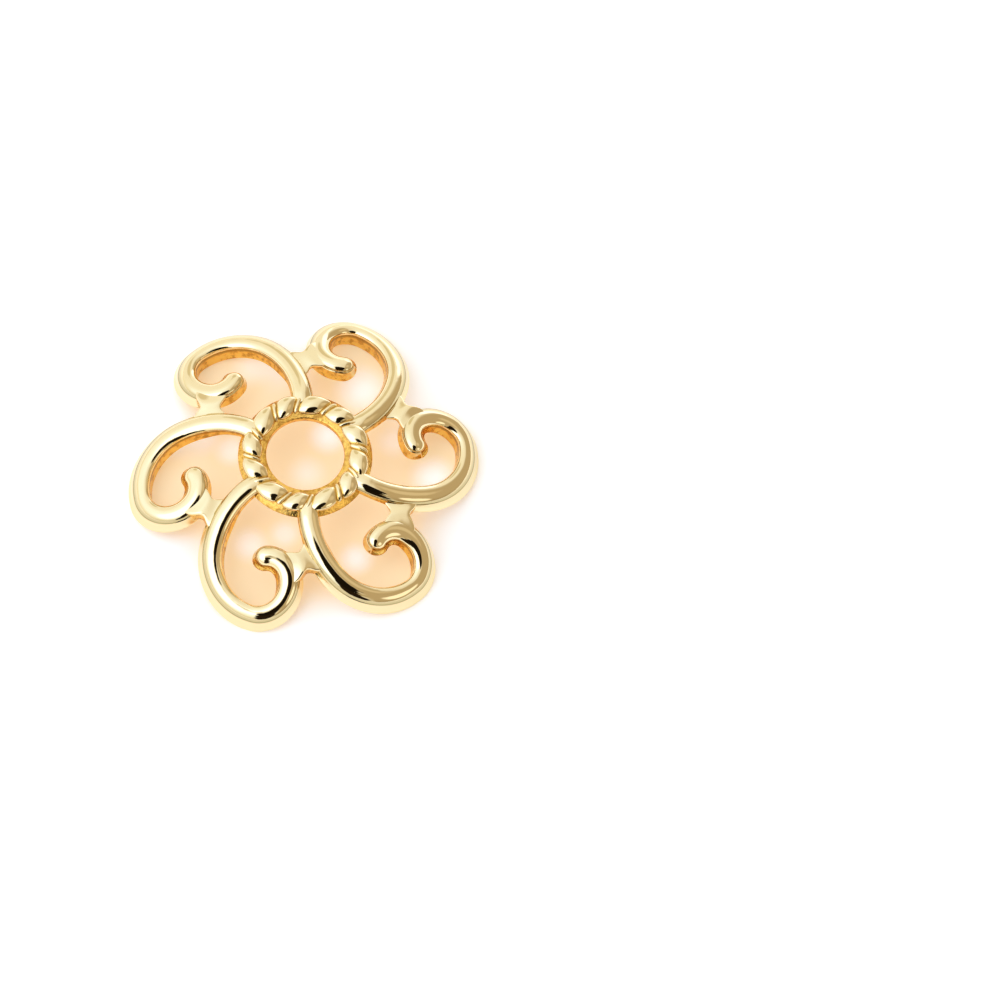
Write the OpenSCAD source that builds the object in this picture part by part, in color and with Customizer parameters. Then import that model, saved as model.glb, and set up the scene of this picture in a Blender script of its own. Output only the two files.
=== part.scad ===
// Bead cap: a domed openwork cap of scroll petals round a twisted rope ring, cast in one piece.
// Millimetres. The hole's axis is Z, the dome is up, and the cap stands on its rim at z = 0.

/* [Cap] */
// Overall diameter across the feet of the petals
cap_d = 15.5; // [13:0.1:20]
// Overall height, from the rim to the top of the rope ring
cap_h = 2.8; // [2.5:0.05:4.5]
// Drop from the top of the rope ring to the ridge of a petal where it leaves the ring
crest_drop = 0.15; // [0.1:0.05:0.5]
// Share of the dome's fall that is straight, the rest being curved
dome_straight = 0.5; // [0.2:0.05:0.9]

/* [Hole and rope ring] */
// Diameter of the thread hole
hole_d = 3.4; // [2.4:0.05:3.8]
// Outer diameter of the collar at its foot
ring_d = 5.9; // [5.3:0.05:7]
// Length of the straight bore, up from the collar's foot
bore_h = 0.3; // [0.15:0.01:0.6]
// Height of the funnel between the bore and the middle of the rope
funnel_h = 0.07; // [0.03:0.01:0.3]
// Width of the funnel between the bore and the rope
funnel_w = 0.2; // [0.1:0.02:0.3]
// How far the rope is set back from the outside of the collar's foot
rope_inset = 0.18; // [0.1:0.02:0.3]
// Thickness of the rope
rope_t = 0.56; // [0.4:0.02:0.8]
// Depth of the grooves between the lobes of the rope
groove = 0.13; // [0.05:0.01:0.18]
// Lobes of the rope for each petal
petal_lobes = 2; // [1:1:3]
// Angle that a groove of the rope runs back from the inside to the outside of the ring
lay = 8; // [0:1:20]
// Direction of the first groove of the rope
rope_turn = 13; // [0:1:30]

/* [Petals] */
// Number of petals
petals = 6; // [5:1:7]
// Direction in which the first petal leaves the ring
first_petal = 40; // [0:1:72]
// Angle between a petal's start and the straight way out
lean = -6; // [-15:1:10]
// Nominal width of the petal wire across its rounded top
wire_w = 0.82; // [0.6:0.02:1]
// Height of the rounded top of the wire above its side walls
crown = 0.24; // [0.1:0.02:0.4]
// Thickness of the petal where it leaves the ring
root_t = 0.46; // [0.4:0.02:0.9]
// Thickness of the petal at the rim
rim_t = 0.95; // [0.7:0.05:1.4]
// How far the foot of the wire spreads past its top on the outside of the scroll
foot_out = 0.24; // [0:0.02:0.4]
// How far the foot of the wire spreads past its top on the inside of the scroll
foot_in = 0.14; // [0:0.02:0.3]
// Share of the dome's slope that the top of the wire follows across its width
bank = 0.6; // [0:0.1:1]

/* [Bridges] */
// Width of the bridge that ties a petal to the next one
bridge_w = 1.1; // [0.6:0.1:1.6]
// Drop from the side wall's top to the top of the bridge
bridge_drop = 0.12; // [0.05:0.01:0.3]
// Height of the gap under the bridge
bridge_lift = 0.12; // [0.05:0.01:0.3]

/* [Hidden] */

// One scroll as a chain of arcs, from the ring to the tip. The columns are the radius as a share of
// scroll_l, the turn in degrees, and the half width at the arc's end as a share of wire_w.
SCROLL = [
    [0.74, 51, 0.50],
    [0.475, 82, 0.40],
    [0.24, 113, 0.52],
    [0.19, 88, 0.50],
];
// Half width of the wire at the ring, as a share of wire_w
STEM_W = 0.53;
// Turn after which the scroll is on its way back, where it can meet the next petal
return_turn = 135;

// Largest turn of the scroll from one section to the next
section_turn = 9;
// Angles round the rounded top of a section, from its inside to its outside
top_angles = [90:-30:-90];
// Angles of the sections that round off the tip
tip_angles = [22, 44, 64, 80];
// Largest angle round the ring from one section of the rope to the next, and points round each section
rope_step = 4;
rope_points = 12;
// How full a lobe of the rope is: 1 is a plain sine, less is rounder
lobe_power = 0.6;

hole_r = hole_d / 2;
ring_r = ring_d / 2;
rope_half_w = (ring_r - rope_inset - hole_r - funnel_w) / 2;
rope_r = ring_r - rope_inset - rope_half_w;
rope_z = cap_h - rope_t / 2;
lobes = petals * petal_lobes;
lobe_sections = ceil(360 / lobes / rope_step);
crest_h = cap_h - crest_drop;
start_r = rope_r;

function arc_radius(i) = SCROLL[i].x;
function arc_turn(i) = SCROLL[i].y;
function arc_width(i) = SCROLL[i].z;

// Point of the scroll at fraction f of arc i, with the heading there, for a scroll_l of 1
function arc_at(i, f) =
    let (s = i == 0 ? [0, 0, lean] : arc_at(i - 1, 1),
         r = arc_radius(i),
         h = s[2],
         end_h = h + f * arc_turn(i))
    [s.x + r * (sin(end_h) - sin(h)), s.y + r * (cos(h) - cos(end_h)), end_h];

// Half width of the wire at fraction f of arc i
function half_w(i, f) =
    let (from = i == 0 ? STEM_W : arc_width(i - 1))
    wire_w * (from + f * (arc_width(i) - from));

// Sections of the unit scroll: x, y, heading and half width
unit_scroll = [
    for (i = [0:len(SCROLL) - 1])
        let (n = ceil(arc_turn(i) / section_turn))
        for (j = [i == 0 ? 0 : 1:n])
            let (at = arc_at(i, j / n))
            [at.x, at.y, at[2], half_w(i, j / n)]
];

// Scale at which one section of the unit scroll would just touch the rim circle with its foot
function touch_scale(s) =
    let (limit = cap_d / 2 - foot_out - s[3],
         a = s.x * s.x + s.y * s.y,
         b = start_r * s.x)
    (sqrt(b * b + a * (limit * limit - start_r * start_r)) - b) / a;

// Size of the scroll that makes the petal reach the rim circle
scroll_l = min([for (k = [1:len(unit_scroll) - 1]) touch_scale(unit_scroll[k])]);

// Sections of the real scroll, for a petal that leaves the ring along +X
scroll = [for (s = unit_scroll) [start_r + scroll_l * s.x, scroll_l * s.y, s[2], s[3]]];
rim_r = max([for (s = scroll) norm([s.x, s.y])]);

// How far out a radius lies on the dome: 0 at the ring, 1 at the rim
function dome_share(r) = max(0, (r - ring_r) / (rim_r - ring_r));

// Height of the ridge of the dome at a radius
function ridge(r) =
    let (t = dome_share(r))
    crest_h - (crest_h - rim_t) * (dome_straight * t + (1 - dome_straight) * t * t);

// Thickness of the cast metal at a radius
function metal_t(r) = root_t + (rim_t - root_t) * dome_share(r);

// Points of one section, from its inner foot over the top to its outer foot. The section is drawn in
// to share s of its size and moved on by share f of its half width, which rounds off the tip.
function section(at, s = 1, f = 0) =
    let (p = [at.x, at.y],
         ahead = [cos(at[2]), sin(at[2])],
         inward = [-ahead.y, ahead.x],
         w = at[3],
         c = crown * s,
         r = norm(p),
         side_z = ridge(r) - crown,
         foot_z = ridge(r) - metal_t(r),
         inner = p + ahead * f * (w + foot_in) + inward * s * (w + foot_in),
         outer = p + ahead * f * (w + foot_out) - inward * s * (w + foot_out))
    concat(
        [[inner.x, inner.y, foot_z]],
        [for (a = top_angles)
            let (q = p + ahead * f * w + inward * s * w * sin(a),
                 slope_z = ridge(r + bank * (norm(q) - r)) - ridge(r))
            [q.x, q.y, side_z + slope_z + c * cos(a)]],
        [[outer.x, outer.y, foot_z]]);

// Closed skin through sections that all have the same number of points
module skin(rings) {
    n = len(rings[0]);
    last = len(rings) - 1;
    polyhedron(
        points = [for (ring = rings) each ring],
        faces = concat(
            [[for (k = [0:n - 1]) k]],
            [[for (k = [n - 1:-1:0]) last * n + k]],
            [for (i = [0:last - 1], k = [0:n - 1])
                let (a = i * n + k, b = i * n + (k + 1) % n)
                each [[a, a + n, b], [b, a + n, b + n]]]),
        convexity = 8);
}

module petal() {
    tip = scroll[len(scroll) - 1];
    skin(concat(
        [for (at = scroll) section(at)],
        [for (a = tip_angles) section(tip, cos(a), sin(a))]));
}

// Bridge from the returning arm of a petal to the stem of the next one, at the closest pair of sections
module bridge() {
    turn = 360 / petals;
    pairs = [
        for (a = scroll) if (a[2] - lean > return_turn)
            for (b = scroll) if (b[2] - lean < return_turn)
                let (q = [b.x * cos(turn) - b.y * sin(turn), b.x * sin(turn) + b.y * cos(turn)])
                [norm(q - [a.x, a.y]), [a.x, a.y], q]
    ];
    gap = min([for (p = pairs) p[0]]);
    best = [for (p = pairs) if (p[0] == gap) p][0];
    mid_r = norm(best[1] + best[2]) / 2;
    top_z = ridge(mid_r) - crown - bridge_drop;
    foot_z = ridge(mid_r) - metal_t(mid_r) + bridge_lift;
    way = best[2] - best[1];
    translate([best[1].x, best[1].y, foot_z])
        rotate(atan2(way.y, way.x))
            translate([0, -bridge_w / 2, 0])
                cube([gap, bridge_w, top_z - foot_z]);
}

// Ring of oblique lobes, like a rope laid in a circle. Its sections follow the grooves.
module rope() {
    count = lobes * lobe_sections;
    full = [for (i = [0:count - 1])
        1 - groove / rope_half_w * (1 - pow(abs(sin(180 * i / lobe_sections)), lobe_power))];
    points = [
        for (i = [0:count - 1], k = [0:rope_points - 1])
            let (v = 360 * k / rope_points,
                 u = rope_turn + 360 * i / count - lay / 2 * cos(v),
                 r = rope_r + rope_half_w * full[i] * cos(v))
            [r * cos(u), r * sin(u), rope_z + rope_t / 2 * full[i] * sin(v)]
    ];
    polyhedron(
        points = points,
        faces = [
            for (i = [0:count - 1], k = [0:rope_points - 1])
                let (j = (i + 1) % count,
                     m = (k + 1) % rope_points,
                     a = i * rope_points + k,
                     b = i * rope_points + m,
                     c = j * rope_points + k,
                     d = j * rope_points + m)
                each [[a, b, c], [b, d, c]]
        ],
        convexity = 8);
}

// Collar that carries the rope, with the true bore and the funnel above it. Its slopes end in the rope.
module collar() {
    foot_z = rope_z - funnel_h - bore_h;
    sink = rope_half_w / 2;
    rotate_extrude($fn = 96)
        polygon([
            [hole_r, foot_z],
            [ring_r, foot_z],
            [ring_r - rope_inset - sink, rope_z],
            [hole_r + funnel_w + sink, rope_z],
            [hole_r, foot_z + bore_h],
        ]);
}

module bead_cap() {
    color("goldenrod")
        union() {
            collar();
            rope();
            for (k = [0:petals - 1])
                rotate(first_petal + k * 360 / petals) {
                    petal();
                    bridge();
                }
        }
}

bead_cap();
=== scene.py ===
"""A cast bead cap in polished gold plate, dressed for the photograph's view.

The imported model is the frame. Everything is modelled in millimetres and brought to metres at the end.
"""

import logging
import math
from dataclasses import dataclass, field
from enum import Enum

import bmesh
import bpy
from mathutils import Matrix, Quaternion, Vector

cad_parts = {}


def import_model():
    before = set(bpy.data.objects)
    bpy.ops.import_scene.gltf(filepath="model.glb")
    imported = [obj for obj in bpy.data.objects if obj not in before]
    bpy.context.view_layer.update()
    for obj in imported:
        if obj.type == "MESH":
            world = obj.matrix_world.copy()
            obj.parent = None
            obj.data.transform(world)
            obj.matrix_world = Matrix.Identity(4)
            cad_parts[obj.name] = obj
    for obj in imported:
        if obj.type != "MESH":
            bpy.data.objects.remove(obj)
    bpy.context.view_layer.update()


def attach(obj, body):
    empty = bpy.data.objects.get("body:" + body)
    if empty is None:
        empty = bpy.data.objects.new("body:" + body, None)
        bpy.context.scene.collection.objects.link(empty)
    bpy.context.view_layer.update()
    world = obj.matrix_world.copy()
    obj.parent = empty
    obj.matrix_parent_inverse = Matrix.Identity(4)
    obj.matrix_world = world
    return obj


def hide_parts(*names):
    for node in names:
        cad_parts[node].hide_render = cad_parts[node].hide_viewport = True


log = logging.getLogger("bead_cap")
MM = 0.001
Pair = tuple[float, float]
Color = tuple[float, float, float]
Socket = bpy.types.NodeSocket
Value = Socket | float | Color


class Surface(Enum):
    """How a part of the casting was finished, or the shade painted on it, as its value in
    finish_and_shade.
    """

    # Painted shade: the dark line along a crease, and the darkening of the top towards it.
    CREASE = 0.0
    POLISHED = 0.3
    AS_CAST = 0.6
    RECESS = 0.75
    # Painted shade: the dark in the rope's grooves and under the petals' shoulders.
    CORNER = 1.0

    def towards(self, other: "Surface", share: float) -> float:
        """The value that has gone a share of the way from this surface or painted shade to another."""
        return self.value + (other.value - self.value) * share


# Hand tools


def deselect_all() -> None:
    """Deselects every object."""
    bpy.ops.object.select_all(action="DESELECT")


def pick(obj: bpy.types.Object) -> None:
    """Makes one object the only selected and active one.

    Args:
        obj: the object.
    """
    deselect_all()
    obj.select_set(True)
    bpy.context.view_layer.objects.active = obj


def new_piece(name: str) -> bpy.types.Object:
    """Names the primitive that was just added.

    Args:
        name: the object's new name.

    Returns:
        The new object.
    """
    obj = bpy.context.object
    obj.name = name
    obj.data.name = name
    return obj


def loft(name: str, sections: list[list[Vector]]) -> bpy.types.Object:
    """Draws a closed bar out of a circle, one extrusion for each section.

    Each vertex keeps its number round the section in the layer "section_point".

    Args:
        name: the object's name.
        sections: the outlines, all with the same number of points.

    Returns:
        The bar, with its normals outwards.
    """
    deselect_all()
    bpy.ops.mesh.primitive_circle_add(vertices=len(sections[0]), fill_type="NGON")
    obj = new_piece(name)
    bpy.ops.object.mode_set(mode="EDIT")
    mesh = bmesh.from_edit_mesh(obj.data)
    key = mesh.verts.layers.int.new("section_point")
    for v in mesh.verts:
        v[key] = v.index
    for number, section in enumerate(sections):
        if number:
            bpy.ops.mesh.extrude_region_move()
            mesh = bmesh.from_edit_mesh(obj.data)
            key = mesh.verts.layers.int["section_point"]
        for v in mesh.verts:
            if v.select:
                v.co = section[v[key]]
        bmesh.update_edit_mesh(obj.data)
    bpy.ops.mesh.select_all(action="SELECT")
    bpy.ops.mesh.normals_make_consistent(inside=False)
    bpy.ops.object.mode_set(mode="OBJECT")
    return obj


def set_finish_and_shade(obj: bpy.types.Object, values: list[float]) -> None:
    """Stores how each vertex of a piece is finished, and the shade painted on it.

    Args:
        obj: the piece.
        values: one value for each vertex, or a single one for the whole piece.
    """
    if len(values) == 1:
        values = values * len(obj.data.vertices)
    finish_and_shade = obj.data.attributes.new("finish_and_shade", "FLOAT", "POINT")
    finish_and_shade.data.foreach_set("value", values)


def section_points(obj: bpy.types.Object) -> list[int]:
    """The number round the section of each vertex of a lofted bar."""
    return [item.value for item in obj.data.attributes["section_point"].data]


def bulge(share: float, power: float) -> float:
    """Raises the size of a share to a power and keeps its sign."""
    return math.copysign(abs(share) ** power, share)


def smooth_step(value: float, start: float, end: float) -> float:
    """How far a value has come from start to end, eased at both."""
    t = min(1.0, max(0.0, (value - start) / (end - start)))
    return t * t * (3 - 2 * t)


# The casting's form


@dataclass(frozen=True)
class Arc:
    """One arc of the scroll.

    radius is a share of the scroll's size, turn is in degrees, and half_width is the wire's half width
    at the arc's end, as a share of its nominal width.
    """

    radius: float
    turn: float
    half_width: float


@dataclass(frozen=True)
class Station:
    """A place along the scroll: where it is, which way it heads and how wide the wire is there."""

    x: float
    y: float
    heading: float
    half_width: float


@dataclass
class Form:
    """The sizes of the cap in millimetres and degrees, as in the CAD model."""

    cap_d: float = 15.5
    cap_h: float = 2.8
    crest_drop: float = 0.15
    dome_straight: float = 0.5
    hole_d: float = 3.4
    ring_d: float = 5.9
    bore_h: float = 0.3
    funnel_h: float = 0.07
    funnel_w: float = 0.2
    rope_inset: float = 0.18
    rope_t: float = 0.56
    petal_lobes: int = 2
    lay: float = 8
    rope_turn: float = 13
    petals: int = 6
    first_petal: float = 40
    lean: float = -6
    wire_w: float = 0.82
    crown: float = 0.24
    root_t: float = 0.46
    rim_t: float = 0.95
    foot_out: float = 0.24
    foot_in: float = 0.14
    bank: float = 0.6
    bridge_lift: float = 0.12
    stem_w: float = 0.53
    return_turn: float = 135
    arcs: tuple[Arc, ...] = (
        Arc(0.74, 51, 0.50),
        Arc(0.475, 82, 0.40),
        Arc(0.24, 113, 0.52),
        Arc(0.19, 88, 0.50),
    )
    station_turn: float = 2.5
    stations: list[Station] = field(default_factory=list)
    rim_r: float = 0.0

    def __post_init__(self) -> None:
        """Works out the scroll's stations once all sizes are known."""
        unit = self._unit_scroll()
        size = min(self._touch_scale(s) for s in unit[1:])
        self.stations = [
            Station(self.rope_r + size * s.x, size * s.y, s.heading, s.half_width)
            for s in unit
        ]
        self.rim_r = max(math.hypot(s.x, s.y) for s in self.stations)

    @property
    def hole_r(self) -> float:
        """Radius of the thread hole."""
        return self.hole_d / 2

    @property
    def ring_r(self) -> float:
        """Outer radius of the collar at its foot."""
        return self.ring_d / 2

    @property
    def rope_half_w(self) -> float:
        """Half width of the rope, seen from above."""
        return (self.ring_r - self.rope_inset - self.hole_r - self.funnel_w) / 2

    @property
    def rope_r(self) -> float:
        """Radius of the rope's middle line."""
        return self.ring_r - self.rope_inset - self.rope_half_w

    @property
    def rope_z(self) -> float:
        """Height of the rope's middle line."""
        return self.cap_h - self.rope_t / 2

    @property
    def crest_h(self) -> float:
        """Height of a petal's ridge at the ring."""
        return self.cap_h - self.crest_drop

    @property
    def collar_foot(self) -> float:
        """Height of the collar's foot."""
        return self.rope_z - self.funnel_h - self.bore_h

    def _unit_scroll(self) -> list[Station]:
        """Stations of a scroll whose size is one.

        Returns:
            The stations from the ring to the tip.
        """
        x = y = 0.0
        heading = math.radians(self.lean)
        width = self.stem_w
        found = [Station(x, y, heading, width * self.wire_w)]
        for arc in self.arcs:
            turn = math.radians(arc.turn)
            steps = math.ceil(arc.turn / self.station_turn)
            for j in range(1, steps + 1):
                end = heading + turn * j / steps
                found.append(
                    Station(
                        x + arc.radius * (math.sin(end) - math.sin(heading)),
                        y + arc.radius * (math.cos(heading) - math.cos(end)),
                        end,
                        self.wire_w * (width + (arc.half_width - width) * j / steps),
                    )
                )
            x, y, heading = found[-1].x, found[-1].y, found[-1].heading
            width = arc.half_width
        return found

    def _touch_scale(self, station: Station) -> float:
        """Size of the scroll at which the foot of one station touches the rim circle.

        Args:
            station: the station, on a scroll whose size is one.

        Returns:
            The size in millimetres.
        """
        limit = self.cap_d / 2 - self.foot_out - station.half_width
        a = station.x * station.x + station.y * station.y
        b = self.rope_r * station.x
        return (math.sqrt(b * b + a * (limit * limit - self.rope_r**2)) - b) / a

    def dome_share(self, r: float) -> float:
        """How far out a radius lies on the dome: 0 at the ring, 1 at the rim."""
        return max(0.0, (r - self.ring_r) / (self.rim_r - self.ring_r))

    def ridge(self, r: float) -> float:
        """Height of the ridge of the dome.

        Args:
            r: the radius in millimetres.

        Returns:
            The height in millimetres.
        """
        t = self.dome_share(r)
        fall = self.dome_straight * t + (1 - self.dome_straight) * t * t
        return self.crest_h - (self.crest_h - self.rim_t) * fall

    def foot(self, r: float) -> float:
        """Height of the underside of the petals at a radius."""
        metal = self.root_t + (self.rim_t - self.root_t) * self.dome_share(r)
        return self.ridge(r) - metal


# Petals


@dataclass(frozen=True)
class ProfilePoint:
    """A point of the wire's section.

    side is its place across the top as a share of the half width, positive towards the inside of the
    scroll. rise is its share of the crown, fall its share of the way down the wall, and flare how far
    it stands out past the top as a share of the foot's spread. finish_and_shade is its value in the
    attribute of that name: how it was finished, or the shade painted on it.
    """

    side: float
    rise: float
    fall: float
    flare: float
    finish_and_shade: float


@dataclass
class ScrollPetal:
    """One scroll petal, drawn out along its arcs section by section.

    The top is rounded evenly across its middle and faster at its shoulders: middle_slope is the slope
    that the even part would reach at the edge, edge_slope the one that it has there, in degrees. A
    crease and a little ledge part the top from the outer wall. ledge and crease_flare are how far
    they stand out, as shares of the foot's spread. The crease is painted with a dark line of shade,
    the top is painted darker with shade towards the crease, and the inner wall has painted shade under
    the shoulder: shoulder_shade and shadow each give the two shares of the half width or the wall's
    height between which the painted shade comes in, and how far. foot_round says how far the foot's
    edge is rounded off, at foot_angles. Near the ring the outer wall is plain and left as cast. grown
    and polished give the shares of the dome between which it takes its full spread and its polish,
    and stem_spread is the share of the spread that it has at the ring.
    """

    form: Form
    top_steps: int = 13
    wall_steps: int = 8
    under_steps: int = 5
    middle_slope: float = 48
    edge_slope: float = 70
    shoulder_power: float = 6
    ledge: float = 0.2
    crease_flare: float = 0.03
    shoulder_shade: tuple[float, float, float] = (0.6, 1.0, 0.55)
    shadow: tuple[float, float, float] = (0.1, 0.62, 0.9)
    outer_flare: float = 1.7
    inner_flare: float = 1.3
    foot_round: float = 0.2
    foot_angles: tuple[float, ...] = (30, 60, 90)
    wall_start: float = 0.08
    wall_end: float = 0.92
    grown: Pair = (0.16, 0.42)
    polished: Pair = (0.32, 0.54)
    stem_spread: float = 0.3
    tip_angles: tuple[float, ...] = (10, 20, 30, 40, 49, 58, 66, 73, 79, 84, 88)

    def _way_out(self, place: Station | Vector, limits: Pair) -> float:
        """How far a place has come from the first to the second of two shares of the dome."""
        return smooth_step(self.form.dome_share(math.hypot(place.x, place.y)), *limits)

    def _inner_finish_and_shade(self, down: float) -> float:
        """As-cast skin and painted shade of the inner wall at a share of its height, from the shoulder
        down.
        """
        start, end, most = self.shadow
        return Surface.AS_CAST.towards(Surface.CORNER, most * smooth_step(down, end, start))

    def _shoulder_finish_and_shade(self, side: float) -> float:
        """Polish and painted shade of the outer half of the top at a share of its half width."""
        start, end, most = self.shoulder_shade
        return Surface.POLISHED.towards(Surface.CREASE, most * smooth_step(side, start, end))

    def _wall(self, power: float, ledge: float) -> list[Pair]:
        """Places down a side wall.

        Args:
            power: how late the wall spreads towards its foot.
            ledge: how far out the wall starts.

        Returns:
            How far down and how far out each place is, both as shares.
        """
        places = []
        for k in range(self.wall_steps + 1):
            t = self.wall_start + (self.wall_end - self.wall_start) * k / self.wall_steps
            places.append((t, ledge + (1 - ledge) * t**power))
        down, out = places[-1]
        for angle in self.foot_angles:
            a = math.radians(angle)
            places.append(
                (down + (1 - down) * math.sin(a), out - self.foot_round * (1 - math.cos(a)))
            )
        return places

    def _half_top(self) -> list[Pair]:
        """One half of the rounded top, from its ridge to its shoulder.

        Returns:
            How far across each place is and how high it stands, both as shares.
        """
        fine = 400
        drops = [0.0]
        for k in range(fine):
            x = (k + 0.5) / fine
            slope = self.middle_slope * x
            slope += (self.edge_slope - self.middle_slope) * x**self.shoulder_power
            drops.append(drops[-1] + math.tan(math.radians(slope)) / fine)
        places = []
        for k in range(self.top_steps + 1):
            x = math.sin(math.radians(90 * k / self.top_steps))
            places.append((x, 1 - drops[round(x * fine)] / drops[-1]))
        return places

    def profile(self) -> list[ProfilePoint]:
        """The wire's section, from the inner foot over the top to the outer foot and back underneath.

        Returns:
            The points in order round the section.
        """
        inner = [
            ProfilePoint(1, 0, down, out, self._inner_finish_and_shade(down))
            for down, out in reversed(self._wall(self.inner_flare, 0.0))
        ]
        half_top = self._half_top()
        top = [
            ProfilePoint(side, rise, 0, 0, Surface.POLISHED.value)
            for side, rise in reversed(half_top)
        ]
        top += [
            ProfilePoint(-side, rise, 0, 0, self._shoulder_finish_and_shade(side))
            for side, rise in half_top[1:]
        ]
        # The crease is painted with a dark line of shade.
        crease = [
            ProfilePoint(-1, 0, self.wall_start / 2, self.crease_flare, Surface.CREASE.value)
        ]
        outer = [
            ProfilePoint(-1, 0, down, out, Surface.POLISHED.value)
            for down, out in self._wall(self.outer_flare, self.ledge)
        ]
        under = [
            ProfilePoint(2 * k / self.under_steps - 1, 0, 1, 0, Surface.AS_CAST.value)
            for k in range(1, self.under_steps)
        ]
        return inner + top + crease + outer + under

    def place(
        self, point: ProfilePoint, at: Station, share: float = 1.0, ahead: float = 0.0
    ) -> Vector:
        """Where a point of the section lies in the petal.

        Args:
            point: the point of the section.
            at: the station that the section stands at.
            share: how far the section is drawn in, for the rounded tip.
            ahead: how far it is moved on, as a share of the half width.

        Returns:
            The place in millimetres, for a petal that leaves the ring along +X.
        """
        form = self.form
        foot = form.foot_in if point.side > 0 else form.foot_out
        foot += ((form.foot_in + form.foot_out) / 2 - foot) * ahead
        grown = self._way_out(at, self.grown)
        spread = point.flare * foot * (self.stem_spread + (1 - self.stem_spread) * grown)
        across = point.side * at.half_width + math.copysign(spread, point.side)
        along = ahead * (at.half_width + spread)
        go = Vector((math.cos(at.heading), math.sin(at.heading)))
        inward = Vector((-go.y, go.x))
        centre = Vector((at.x, at.y))
        flat = centre + go * along + inward * across * share
        r = centre.length
        slope = form.ridge(r + form.bank * (flat.length - r)) - form.ridge(r)
        top = form.ridge(r) - form.crown + slope + form.crown * share * point.rise
        z = top + (form.foot(r) - top) * point.fall
        return Vector((flat.x, flat.y, z))

    def build(self) -> bpy.types.Object:
        """Models the petal.

        Returns:
            A closed mesh in millimetres.
        """
        profile = self.profile()
        stations = self.form.stations
        rings = [(station, 1.0, 0.0) for station in stations]
        for angle in self.tip_angles:
            a = math.radians(angle)
            rings.append((stations[-1], math.cos(a), math.sin(a)))
        obj = loft(
            "petal",
            [
                [self.place(point, at, share, ahead) for point in profile]
                for at, share, ahead in rings
            ],
        )
        finish_and_shade = []
        for v, number in zip(obj.data.vertices, section_points(obj)):
            point = profile[number]
            value = point.finish_and_shade
            if point.fall and point.side < 0 and value > Surface.CREASE.value:
                share = self._way_out(v.co, self.polished)
                value = Surface.AS_CAST.value * (1 - share) + value * share
            finish_and_shade.append(value)
        set_finish_and_shade(obj, finish_and_shade)
        return obj


# Bridges


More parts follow.
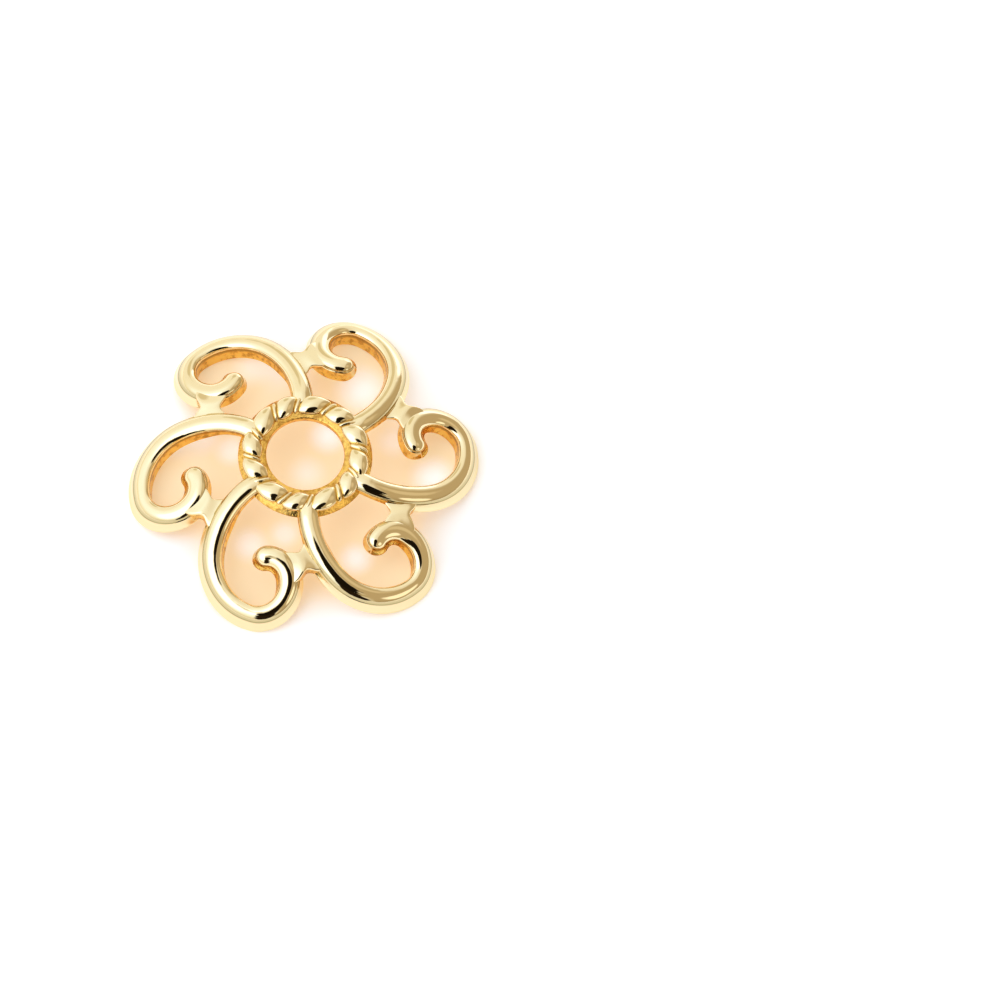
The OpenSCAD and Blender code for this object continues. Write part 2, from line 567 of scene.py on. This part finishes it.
@dataclass
class Bridge:
    """The web of metal that ties the returning arm of a petal to the stem of the next one.

    It starts on the middle line of the arm and ends on that of the stem, and follows both, so that it
    runs into them without a step. waist is its half width in the middle and spread how much it widens
    towards the wires, up to the share spread_end of the way. shift moves it outwards along both wires.
    arm_sag and stem_sag say how far it lies under the ridge at the arm and at the stem, where it dips
    under the crease, between the shares of the way dip. arch is how high its top is rounded, and level
    how much of the dome's fall it keeps in its middle.
    """

    form: Form
    waist: float = 0.44
    spread: float = 0.28
    spread_end: float = 0.6
    shift: float = 0.06
    level: float = 0.35
    arm_sag: float = 0.09
    stem_sag: float = 0.25
    dip: Pair = (-0.3, 0.55)
    arch: float = 0.1
    top_fullness: float = 0.3
    steps: int = 32
    top_steps: int = 20
    wall_steps: int = 4
    under_steps: int = 4

    def ends(self) -> tuple[int, int]:
        """The closest places of a petal's returning arm and of the next petal's stem.

        Returns:
            The numbers of the two stations.
        """
        stations = self.form.stations
        lean = math.radians(self.form.lean)
        back = math.radians(self.form.return_turn)
        arm = [k for k, s in enumerate(stations) if s.heading - lean > back]
        stem = [k for k, s in enumerate(stations) if s.heading - lean < back]
        pairs = [(a, b) for a in arm for b in stem]
        return min(
            pairs, key=lambda pair: (self._point(pair[0]) - self._next(self._point(pair[1]))).length
        )

    def _point(self, number: int) -> Vector:
        """The place of a station on the middle line."""
        station = self.form.stations[number]
        return Vector((station.x, station.y))

    def _next(self, place: Vector) -> Vector:
        """The same place on the next petal.

        Args:
            place: the place on this petal.

        Returns:
            The place, turned on round the ring by one petal.
        """
        turn = math.radians(360 / self.form.petals)
        c, d = math.cos(turn), math.sin(turn)
        return Vector((place.x * c - place.y * d, place.x * d + place.y * c))

    def _walk(self, number: int, way: float) -> Vector:
        """Walks along the middle line of the wire.

        Args:
            number: the station to start from.
            way: how far to go, in millimetres, towards the tip if it is positive.

        Returns:
            The place reached.
        """
        step = 1 if way > 0 else -1
        left = abs(way)
        while 0 <= number + step < len(self.form.stations):
            here, there = self._point(number), self._point(number + step)
            span = (there - here).length
            if left <= span:
                return here.lerp(there, left / span)
            left -= span
            number += step
        return self._point(number)

    def _outline(self) -> list[tuple[float, float, float]]:
        """The section's points as shares.

        Returns:
            How far across, how far up over the shoulder and how far down the wall each point is.
        """
        flat = []
        for k in range(self.top_steps + 1):
            a = math.radians(90 - 180 * k / self.top_steps)
            flat.append((math.sin(a), bulge(math.cos(a), self.top_fullness), 0.0))
        for k in range(1, self.wall_steps + 1):
            flat.append((-1.0, 0.0, k / self.wall_steps))
        for k in range(1, self.under_steps):
            flat.append((2 * k / self.under_steps - 1, 0.0, 1.0))
        for k in range(self.wall_steps, 0, -1):
            flat.append((1.0, 0.0, k / self.wall_steps))
        return flat

    def section(self, share: float, arm: int, stem: int) -> list[Vector]:
        """The outline of the web at one place between the wires.

        Args:
            share: the place, from -1 on the arm's middle line to 1 on the stem's.
            arm: the station of the arm that the web starts from.
            stem: the station of the stem that it goes to.

        Returns:
            The points in order round the section, from one side over the top and back underneath.
        """
        form = self.form
        t = (share + 1) / 2
        half = self.waist + self.spread * smooth_step(abs(share), 0, self.spread_end)
        sag = self.arm_sag + (self.stem_sag - self.arm_sag) * smooth_step(share, *self.dip)
        keep = self.level + (1 - self.level) * share * share
        middle = form.ridge(self._point(arm).length) * (1 - t)
        middle += form.ridge(self._point(stem).length) * t
        outline = []
        for side, rise, fall in self._outline():
            a = self._walk(arm, side * half - self.shift)
            b = self._next(self._walk(stem, self.shift - side * half))
            place = a.lerp(b, t)
            top = form.ridge(a.length) * (1 - t) + form.ridge(b.length) * t
            shoulder = middle + keep * (top - middle) - sag - self.arch
            foot = form.foot(place.length) + form.bridge_lift
            z = shoulder + self.arch * rise + (foot - shoulder) * fall
            outline.append(Vector((place.x, place.y, z)))
        return outline

    def build(self) -> bpy.types.Object:
        """Models the web.

        Returns:
            A closed mesh in millimetres.
        """
        arm, stem = self.ends()
        rings = [2 * k / self.steps - 1 for k in range(self.steps + 1)]
        obj = loft("bridge", [self.section(share, arm, stem) for share in rings])
        top = self.top_steps + 1
        set_finish_and_shade(
            obj,
            [
                (Surface.POLISHED if number < top else Surface.RECESS).value
                for number in section_points(obj)
            ],
        )
        return obj


# Rope ring


@dataclass
class RopeRing:
    """The collar with its hole, and the rope of slanted lobes on top of it.

    Thick lobes and fine strands take turns. Between them the rope is pinched, sideways by pinch_out
    and in height by pinch_up, as shares of its half size, and lobe_power says how blunt a lobe is.
    strand is the height of a strand as a share of the pinch and strand_w its half width as a share of
    a lobe's length. crowd draws the vertices to the strands, and fullness is how wide the rope is
    against its nominal width. uneven is how much the lobes differ in length and height, as in a
    hand-laid rope, in drift_waves and swell_waves round the ring, the latter turned by swell_turn
    radians. groove_shade gives the depths between which painted shade darkens a groove, and cast_below
    the shares of the rope's half height, under its middle, between which its skin goes over to as
    cast. The edges of the collar are rounded over round_edge, and its ends are welded within weld, in
    millimetres.
    """

    form: Form
    lobe_steps: int = 40
    round_steps: int = 36
    crowd: float = 0.45
    fullness: float = 1.12
    lobe_power: float = 0.6
    pinch_out: float = 0.34
    pinch_up: float = 0.62
    strand: float = 0.5
    strand_w: float = 0.1
    groove_shade: Pair = (0.55, 0.95)
    cast_below: Pair = (0.05, 0.45)
    uneven: float = 0.06
    drift_waves: int = 5
    swell_waves: int = 4
    swell_turn: float = 1.0
    collar_steps: int = 192
    round_edge: float = 0.05
    edge_steps: int = 4
    weld: float = 0.0005

    def _dip(self, place: float) -> float:
        """How deep the rope is pinched, from 0 on a lobe to 1 in a groove.

        Args:
            place: the place along the rope, in lobes from the middle of a strand.

        Returns:
            The depth as a share.
        """
        off = abs((place + 0.5) % 1 - 0.5)
        if off < self.strand_w:
            return 1 - self.strand * math.cos(math.pi / 2 * off / self.strand_w)
        along = (off - self.strand_w) / (0.5 - self.strand_w)
        return 1 - math.sin(math.pi / 2 * along) ** self.lobe_power

    def build_rope(self) -> bpy.types.Object:
        """Models the rope from a torus, pinched at each groove.

        Returns:
            A closed mesh in millimetres.
        """
        form = self.form
        lobes = form.petals * form.petal_lobes
        half_w, half_t = form.rope_half_w * self.fullness, form.rope_t / 2
        deselect_all()
        bpy.ops.mesh.primitive_torus_add(
            major_segments=lobes * self.lobe_steps,
            minor_segments=self.round_steps,
            major_radius=form.rope_r,
            minor_radius=half_w,
        )
        obj = new_piece("rope")
        finish_and_shade = []
        for v in obj.data.vertices:
            place = math.atan2(v.co.y, v.co.x) * lobes / math.tau
            place -= self.crowd * math.sin(math.tau * place) / math.tau
            out = (math.hypot(v.co.x, v.co.y) - form.rope_r) / half_w
            up = v.co.z / half_w
            dip = self._dip(place)
            round_ring = math.tau * place / lobes
            drift = self.uneven * math.sin(self.drift_waves * round_ring)
            u = math.radians(form.rope_turn - form.lay / 2 * out)
            u += round_ring + math.tau * drift / lobes
            swell = math.cos(self.swell_waves * round_ring + self.swell_turn)
            size = 1 - self.uneven * (1 + swell) / 2
            r = form.rope_r + half_w * (size - self.pinch_out * dip) * out
            z = form.rope_z + half_t * (size - self.pinch_up * dip) * up
            v.co = (r * math.cos(u), r * math.sin(u), z)
            low = smooth_step(-up, *self.cast_below)
            # Painted shade darkens the grooves between the lobes.
            dark = smooth_step(dip, *self.groove_shade)
            finish_and_shade.append(
                max(
                    Surface.POLISHED.towards(Surface.AS_CAST, low),
                    Surface.POLISHED.towards(Surface.CORNER, dark),
                )
            )
        set_finish_and_shade(obj, finish_and_shade)
        return obj

    def build_collar(self) -> bpy.types.Object:
        """Models the collar by spinning its section round the hole's axis.

        Returns:
            A closed mesh in millimetres.
        """
        form = self.form
        sink = form.rope_half_w / 2
        foot, top = form.collar_foot, form.rope_z
        section = [
            (form.hole_r, foot),
            (form.ring_r, foot),
            (form.ring_r - form.rope_inset - sink, top),
            (form.hole_r + form.funnel_w + sink, top),
            (form.hole_r, foot + form.bore_h),
        ]
        deselect_all()
        bpy.ops.mesh.primitive_circle_add(vertices=len(section), fill_type="NOTHING")
        obj = new_piece("collar")
        for v, (r, z) in zip(obj.data.vertices, section):
            v.co = (r, 0, z)
        bpy.ops.object.mode_set(mode="EDIT")
        bpy.ops.mesh.select_all(action="SELECT")
        bpy.ops.mesh.bevel(
            offset=self.round_edge, segments=self.edge_steps, affect="VERTICES"
        )
        bpy.ops.mesh.select_all(action="SELECT")
        bpy.ops.mesh.spin(
            steps=self.collar_steps,
            angle=math.tau,
            center=(0, 0, 0),
            axis=(0, 0, 1),
            use_auto_merge=True,
        )
        bpy.ops.mesh.select_all(action="SELECT")
        bpy.ops.mesh.remove_doubles(threshold=self.weld)
        bpy.ops.mesh.normals_make_consistent(inside=False)
        bpy.ops.object.mode_set(mode="OBJECT")
        set_finish_and_shade(obj, [Surface.RECESS.value])
        return obj


# The casting


@dataclass
class Casting:
    """The whole cap: ring, petals and bridges as one piece of metal."""

    form: Form

    def turned_copies(self, obj: bpy.types.Object) -> list[bpy.types.Object]:
        """Copies a sub-part round the cap, each copy with its own mesh.

        Args:
            obj: the sub-part as it lies for a petal that leaves the ring along +X.

        Returns:
            The copies, one for each petal.
        """
        made = []
        for k, turn in enumerate(self._turns()):
            copy = obj.copy()
            copy.data = obj.data.copy()
            copy.name = f"{obj.name}_{k}"
            bpy.context.collection.objects.link(copy)
            copy.rotation_euler.z = turn
            pick(copy)
            bpy.ops.object.transform_apply(location=True, rotation=True, scale=True)
            made.append(copy)
        bpy.data.objects.remove(obj)
        return made

    def _turns(self) -> list[float]:
        """The directions in which the petals leave the ring, in radians."""
        petals = self.form.petals
        return [math.radians(self.form.first_petal + 360 * k / petals) for k in range(petals)]

    def windows(self) -> list[Vector]:
        """Finds the middles of the petals' windows.

        Returns:
            The places in millimetres.
        """
        stations = self.form.stations
        mean = sum((Vector((s.x, s.y, 0)) for s in stations), Vector()) / len(stations)
        return [Matrix.Rotation(turn, 3, "Z") @ mean for turn in self._turns()]

    def build(self) -> bpy.types.Object:
        """Models the whole casting.

        Returns:
            The finished mesh in metres, at the origin.
        """
        ring = RopeRing(self.form)
        petals = self.turned_copies(ScrollPetal(self.form).build())
        log.info("petals: %d of %d faces", len(petals), len(petals[0].data.polygons))
        bridges = self.turned_copies(Bridge(self.form).build())
        log.info("bridges: %d of %d faces", len(bridges), len(bridges[0].data.polygons))
        parts = [ring.build_rope(), ring.build_collar(), *petals, *bridges]
        log.info("rope ring: %d faces", len(parts[0].data.polygons))
        deselect_all()
        for part in parts:
            part.select_set(True)
        bpy.context.view_layer.objects.active = parts[0]
        bpy.ops.object.join()
        obj = new_piece("gold_bead_cap")
        obj.scale = (MM, MM, MM)
        pick(obj)
        bpy.ops.object.transform_apply(location=True, rotation=True, scale=True)
        bpy.ops.object.shade_smooth()
        log.info("casting: %d faces", len(obj.data.polygons))
        return obj


# Finishes


@dataclass(frozen=True)
class Cloud:
    """A noise: how many clouds there are in a metre, and how many finer layers it has."""

    scale: float
    detail: float


@dataclass
class Graph:
    """The nodes of one material or world.

    Its methods from place on add nodes and return the socket that holds the result. A value may be such
    a socket, which is linked, or a number or colour, which is set. MIX_SOCKETS numbers the two inputs
    and the output that the Mix node has for colours and for numbers.
    """

    tree: bpy.types.NodeTree
    MIX_SOCKETS = {"RGBA": (6, 7, 2), "FLOAT": (2, 3, 0)}

    def feed(self, node: bpy.types.Node, values: dict[str | int, Value]) -> None:
        """Gives the inputs of a node their values.

        Args:
            node: the node.
            values: the value for each input's name or number.
        """
        for key, value in values.items():
            socket = node.inputs[key]
            if isinstance(value, Socket):
                self.tree.links.new(value, socket)
            elif isinstance(value, tuple):
                socket.default_value = (*value, 1)
            else:
                socket.default_value = value

    def add(self, kind: str, values: dict[str | int, Value]) -> bpy.types.Node:
        """Adds a node.

        Args:
            kind: the kind of node.
            values: the value for each input's name or number.

        Returns:
            The node.
        """
        node = self.tree.nodes.new(f"ShaderNode{kind}")
        self.feed(node, values)
        return node

    def place(self, kind: str) -> Socket:
        """The coordinates of a kind, such as Object."""
        return self.add("TexCoord", {}).outputs[kind]

    def noise(self, place: Socket, cloud: Cloud) -> Socket:
        """Makes a cloudy noise.

        Args:
            place: the coordinates that it reads.
            cloud: its size and detail.

        Returns:
            A value about one half.
        """
        values = {"Vector": place, "Scale": cloud.scale, "Detail": cloud.detail}
        return self.add("TexNoise", values).outputs[0]

    def spread(
        self,
        value: Socket,
        low: float,
        high: float,
        start: float = 0.0,
        end: float = 1.0,
        ease: bool = False,
    ) -> Socket:
        """Maps a value that goes from start to end onto low to high, and holds it at both.

        Args:
            value: the value.
            low: the result at start.
            high: the result at end.
            start: where the value starts.
            end: where it ends.
            ease: whether the result sets off and arrives softly.

        Returns:
            The result.
        """
        values = {"Value": value, "From Min": start, "From Max": end, "To Min": low, "To Max": high}
        node = self.add("MapRange", values)
        if ease:
            node.interpolation_type = "SMOOTHSTEP"
        return node.outputs[0]

    def work_out(self, operation: str, *values: Value) -> Socket:
        """Does one sum with up to three values.

        Args:
            operation: the name of the sum in the Math node.
            values: what it is done with.

        Returns:
            The result.
        """
        node = self.add("Math", dict(enumerate(values)))
        node.operation = operation
        return node.outputs[0]

    def measure(self, operation: str, place: Socket, other: Vector) -> Socket:
        """Measures coordinates against a fixed place or direction.

        Args:
            operation: DISTANCE to the place, or DOT_PRODUCT with the direction.
            place: the coordinates.
            other: the fixed place or direction.

        Returns:
            The number measured.
        """
        node = self.add("VectorMath", {0: place, 1: other})
        node.operation = operation
        return node.outputs["Value"]

    def mix(self, share: Value, first: Value, second: Value, kind: str = "RGBA") -> Socket:
        """Goes a share of the way from one colour or number to another.

        Args:
            share: the share of the way.
            first: the colour or number at its start.
            second: the one at its end.
            kind: RGBA for colours, FLOAT for numbers.

        Returns:
            The colour or number there.
        """
        first_input, second_input, output = self.MIX_SOCKETS[kind]
        node = self.add("Mix", {0: share, first_input: first, second_input: second})
        node.data_type = kind
        return node.outputs[output]


@dataclass(frozen=True)
class GoldPlate:
    """Polished pale gold plate, with a warmer, duller skin where the casting was left alone.

    haze varies the saturation between the shares of tint, and the roughness of the polish between
    the two values of roughness. grain does so with cast_roughness, and stands up from the surface by
    relief, in metres, times polished_relief or cast_relief. wave is the height of waves against the
    grain. pits are brown, come where their noise passes through pit_range, and cover by pit_share.
    """

    color: Color = (0.94, 0.78, 0.46)
    cast_color: Color = (0.90, 0.57, 0.14)
    recess_color: Color = (0.93, 0.55, 0.12)
    # Painted shade: the dark line at the creases, and the dark in grooves and corners.
    crease_shade_color: Color = (0.34, 0.26, 0.09)
    corner_shade_color: Color = (0.22, 0.11, 0.02)
    pit_color: Color = (0.42, 0.17, 0.02)
    haze: Cloud = Cloud(900, 3)
    grain: Cloud = Cloud(9000, 2)
    pits: Cloud = Cloud(4200, 3)
    waves: Cloud = Cloud(1700, 1)
    tint: Pair = (0.96, 1.04)
    pit_share: float = 0.7
    pit_range: Pair = (0.46, 0.66)
    roughness: Pair = (0.032, 0.048)
    cast_roughness: Pair = (0.176, 0.275)
    relief: float = 0.00002
    polished_relief: float = 0.015
    cast_relief: float = 0.9
    wave: float = 0.5

    def build(self) -> bpy.types.Material:
        """Makes the material.

        Returns:
            The finished material.
        """
        material = bpy.data.materials.new("gold_plate")
        material.use_nodes = True
        graph = Graph(material.node_tree)
        attribute = graph.add("Attribute", {})
        attribute.attribute_name = "finish_and_shade"
        finish_and_shade = attribute.outputs["Fac"]
        cast = graph.spread(finish_and_shade, 0, 1, Surface.POLISHED.value, Surface.AS_CAST.value)
        place = graph.place("Object")
        haze, grain = graph.noise(place, self.haze), graph.noise(place, self.grain)
        smooth = graph.spread(haze, *self.roughness)
        rough = graph.spread(grain, *self.cast_roughness)
        values = {
            "Metallic": 1.0,
            "Base Color": self._pitted(graph, place, cast, self._tinted(graph, finish_and_shade, haze)),
            "Roughness": graph.mix(cast, smooth, rough, "FLOAT"),
            "Normal": self._bumped(graph, place, cast, grain),
        }
        graph.feed(material.node_tree.nodes["Principled BSDF"], values)
        return material

    def _tinted(self, graph: Graph, finish_and_shade: Socket, haze: Socket) -> Socket:
        """Gives each kind of surface and each painted shade its colour, a little paler or richer with
        the haze.

        Args:
            graph: the material's nodes.
            finish_and_shade: how the surface was finished, or its painted shade.
            haze: the haze.

        Returns:
            The colour.
        """
        ramp = graph.add("ValToRGB", {0: finish_and_shade})
        stops = ramp.color_ramp.elements
        # The two darkest stops are painted shade.
        stops[0].color = (*self.crease_shade_color, 1)
        stops[1].color = (*self.corner_shade_color, 1)
        for surface, color in (
            (Surface.POLISHED, self.color),
            (Surface.AS_CAST, self.cast_color),
            (Surface.RECESS, self.recess_color),
        ):
            stops.new(surface.value).color = (*color, 1)
        values = {"Color": ramp.outputs[0], "Saturation": graph.spread(haze, *self.tint)}
        return graph.add("HueSaturation", values).outputs[0]

    def _pitted(self, graph: Graph, place: Socket, cast: Socket, tone: Socket) -> Socket:
        """Browns the pits of what was left as cast.

        Args:
            graph: the material's nodes.
            place: the place on the casting.
            cast: how much the surface was left as cast.
            tone: the colour without pits.

        Returns:
            The colour with pits.
        """
        pits = graph.noise(place, self.pits)
        pits = graph.spread(pits, 0, self.pit_share, *self.pit_range)
        return graph.mix(graph.work_out("MULTIPLY", pits, cast), tone, self.pit_color)

    def _bumped(self, graph: Graph, place: Socket, cast: Socket, grain: Socket) -> Socket:
        """Raises the grain where the surface is as cast, and slow waves all over.

        Args:
            graph: the material's nodes.
            place: the place on the casting.
            cast: how much the surface was left as cast.
            grain: the grain.

        Returns:
            The normal.
        """
        strength = graph.spread(cast, self.polished_relief, self.cast_relief)
        height = graph.work_out("MULTIPLY", grain, strength)
        waves = graph.noise(place, self.waves)
        height = graph.work_out("MULTIPLY_ADD", waves, self.wave, height)
        return graph.add("Bump", {"Distance": self.relief, "Height": height}).outputs[0]


# Studio


@dataclass(frozen=True)
class Panel:
    """A soft-edged round patch of the surroundings, lit or dark.

    across and along say where it stands as seen from the cap, as shares of the way from straight up
    to the horizon: across towards +X and along towards +Y. size and edge are in degrees.
    """

    across: float
    along: float
    size: float
    edge: float
    color: Color

    def direction(self) -> Vector:
        """Works out which way the panel lies.

        Returns:
            The direction from the cap to the middle of the panel.
        """
        tilt = math.radians(90 * math.hypot(self.across, self.along))
        turn = math.atan2(self.along, self.across)
        level = math.sin(tilt)
        return Vector((level * math.cos(turn), level * math.sin(turn), math.cos(tilt)))

    def limits(self) -> Pair:
        """The cosines of the angles at the outside and the inside of the panel's soft edge."""
        outer, inner = self.size + self.edge / 2, self.size - self.edge / 2
        return math.cos(math.radians(outer)), math.cos(math.radians(inner))


@dataclass(frozen=True)
class Pool:
    """A soft pool of light on the table: place and radius in millimetres, and strength."""

    x: float
    y: float
    radius: float
    strength: float


@dataclass
class Studio:
    """The white table and the soft surroundings: bright on the left and grey on the right.

    The light goes over from left to middle by fall, and to right by shade. Near the table it is low
    by horizon. These three hold the sines of the angles, to the right or above the table, at which
    the change begins and ends. The table is painted warm round the ring and in the petals' windows,
    with shade and light thrown back by the gold, and white beyond them: ring_fade and window_fade hold
    the radii at which the painted warm tone begins and is full, in millimetres. Pools of light are
    painted on the table, and it glows a little by itself.
    """

    windows: list[Vector]
    floor_size: float = 2.0
    left: Color = (1.12, 1.24, 1.40)
    middle: Color = (0.88, 0.84, 0.77)
    right: Color = (0.53, 0.43, 0.29)
    low: Color = (1.0, 0.98, 0.90)
    fall: Pair = (-0.40, 0.42)
    shade: Pair = (0.30, 0.44)
    horizon: Pair = (0.42, 0.1)
    panels: tuple[Panel, ...] = (
        Panel(-0.25, 0.75, 36, 40, (1.0, 1.0, 0.96)),
        Panel(-0.15, 0.68, 12, 6, (0.76, 0.69, 0.52)),
        Panel(-0.34, -0.30, 26, 16, (1.8, 1.95, 2.3)),
        Panel(0.30, 0.90, 14, 8, (1.5, 1.6, 1.9)),
        Panel(0.58, -0.42, 13, 6, (1.25, 1.2, 1.1)),
        Panel(0.42, 0.14, 12, 10, (0.72, 0.62, 0.46)),
        Panel(0.04, -0.30, 17, 8, (0.70, 0.66, 0.58)),
        Panel(0.06, -0.84, 16, 4, (0.02, 0.012, 0.006)),
        Panel(0.22, -0.56, 8, 3, (0.50, 0.42, 0.28)),
        Panel(0.03, -0.66, 14, 3, (0.02, 0.012, 0.006)),
        Panel(0.09, -0.29, 17, 2, (0.01, 0.007, 0.004)),
        Panel(0.05, -0.46, 16, 2, (0.01, 0.007, 0.004)),
    )
    pools: tuple[Pool, ...] = (
        Pool(0.8, 2.1, 1.1, 1.0),
        Pool(0.1, 0.2, 1.1, 0.45),
        Pool(5.6, 0.7, 1.3, 1.0),
        Pool(3.7, 2.2, 1.0, 0.5),
        Pool(2.0, 4.5, 1.5, 1.0),
        Pool(-2.8, 5.0, 1.2, 0.5),
        Pool(-3.3, 0.9, 1.0, 0.7),
        Pool(-4.5, 1.3, 1.0, 0.5),
        Pool(-2.0, -3.5, 1.1, 0.7),
        Pool(-0.5, -2.8, 0.9, 0.6),
        Pool(2.7, -3.6, 1.0, 0.9),
    )
    warm_shade_and_bounce: Color = (0.92, 0.75, 0.49)
    pool_color: Color = (1.0, 1.0, 1.0)
    cool: Color = (0.90, 0.90, 0.90)
    ring_fade: Pair = (6.6, 4.2)
    ring_middle: Pair = (0.2, -0.5)
    window_fade: Pair = (2.6, 1.3)
    roughness: float = 0.6
    gloss: float = 0.1
    glow: float = 0.4

    def build_floor(self) -> bpy.types.Object:
        """Lays the white table, painted with a warm tone of shade and of light from the gold above it.

        Returns:
            The floor.
        """
        deselect_all()
        bpy.ops.mesh.primitive_plane_add(size=self.floor_size)
        floor = new_piece("table")
        material = bpy.data.materials.new("white_table")
        material.use_nodes = True
        graph = Graph(material.node_tree)
        tone = self._table_tone(graph)
        values = {
            "Roughness": self.roughness,
            "Specular IOR Level": self.gloss,
            "Emission Strength": self.glow,
            "Base Color": tone,
            "Emission Color": tone,
        }
        graph.feed(material.node_tree.nodes["Principled BSDF"], values)
        floor.data.materials.append(material)
        return floor

    def _table_tone(self, graph: Graph) -> Socket:
        """Paints the table: white, warm shade and bounce light under the gold, and pools of light.

        Args:
            graph: the table's nodes.

        Returns:
            The colour.
        """
        place = graph.place("Object")
        # Painted warm shade and bounce light round the ring and in the windows, and painted pools of
        # light.
        spots = [(Vector((*self.ring_middle, 0)), self.ring_fade, 1.0, self.warm_shade_and_bounce)]
        spots += [(window, self.window_fade, 1.0, self.warm_shade_and_bounce) for window in self.windows]
        spots += [
            (Vector((pool.x, pool.y, 0)), (pool.radius, 0), pool.strength, self.pool_color)
            for pool in self.pools
        ]
        tone = self.cool
        for middle, (outside, inside), strength, color in spots:
            away = graph.measure("DISTANCE", place, middle * MM)
            mask = graph.spread(away, 0, strength, outside * MM, inside * MM, ease=True)
            tone = graph.mix(mask, tone, color)
        return tone

    def build_world(self) -> None:
        """Makes the surroundings: a slow fall of light from left to right, and the panels on it."""
        world = bpy.data.worlds.new("studio")
        bpy.context.scene.world = world
        world.use_nodes = True
        world.node_tree.nodes.clear()
        graph = Graph(world.node_tree)
        place = graph.place("Generated")
        across, up = Vector((1, 0, 0)), Vector((0, 0, 1))
        light = self.left
        for direction, limits, color in [
            (across, self.fall, self.middle),
            (up, self.horizon, self.low),
            (across, self.shade, self.right),
            *((panel.direction(), panel.limits(), panel.color) for panel in self.panels),
        ]:
            near = graph.measure("DOT_PRODUCT", place, direction)
            light = graph.mix(graph.spread(near, 0, 1, *limits, ease=True), light, color)
        background = graph.add("Background", {"Color": light})
        graph.add("OutputWorld", {"Surface": background.outputs[0]})


@dataclass
class PhotoCamera:
    """The photograph's view: from above and in front, with the camera leaning a little.

    elevation and lean are in degrees, lens and sensor in millimetres, and the rest is in metres.
    """

    elevation: float = 65.68
    lean: float = 6.62
    distance: float = 0.3846
    lens: float = 316.8
    sensor: float = 36
    clip: Pair = (0.01, 5)
    look_at: tuple[float, float, float] = (0.008631, -0.000006, 0.0)

    def build(self) -> bpy.types.Object:
        """Places the camera and makes it the scene's.

        Returns:
            The camera.
        """
        data = bpy.data.cameras.new("photo_camera")
        data.lens = self.lens
        data.sensor_width = self.sensor
        data.clip_start, data.clip_end = self.clip
        camera = bpy.data.objects.new("photo_camera", data)
        bpy.context.collection.objects.link(camera)
        up = math.radians(self.elevation)
        back = Vector((0, -math.cos(up), math.sin(up)))
        camera.location = Vector(self.look_at) + back * self.distance
        camera.rotation_mode = "QUATERNION"
        turn = Quaternion((0, 0, 1), math.radians(self.lean))
        camera.rotation_quaternion = (-back).to_track_quat("-Z", "Y") @ turn
        bpy.context.scene.camera = camera
        return camera


# Main


def main() -> None:
    """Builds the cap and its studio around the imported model."""
    logging.basicConfig(level=logging.INFO, format="%(name)s: %(message)s")
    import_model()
    PhotoCamera().build()
    casting = Casting(Form())
    studio = Studio(casting.windows())
    studio.build_floor()
    studio.build_world()
    cap = casting.build()
    cap.data.materials.clear()
    cap.data.materials.append(GoldPlate().build())
    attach(cap, "root")
    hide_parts("bead_cap")
    bpy.context.scene.view_settings.view_transform = "Standard"


if __name__ == "__main__":
    main()
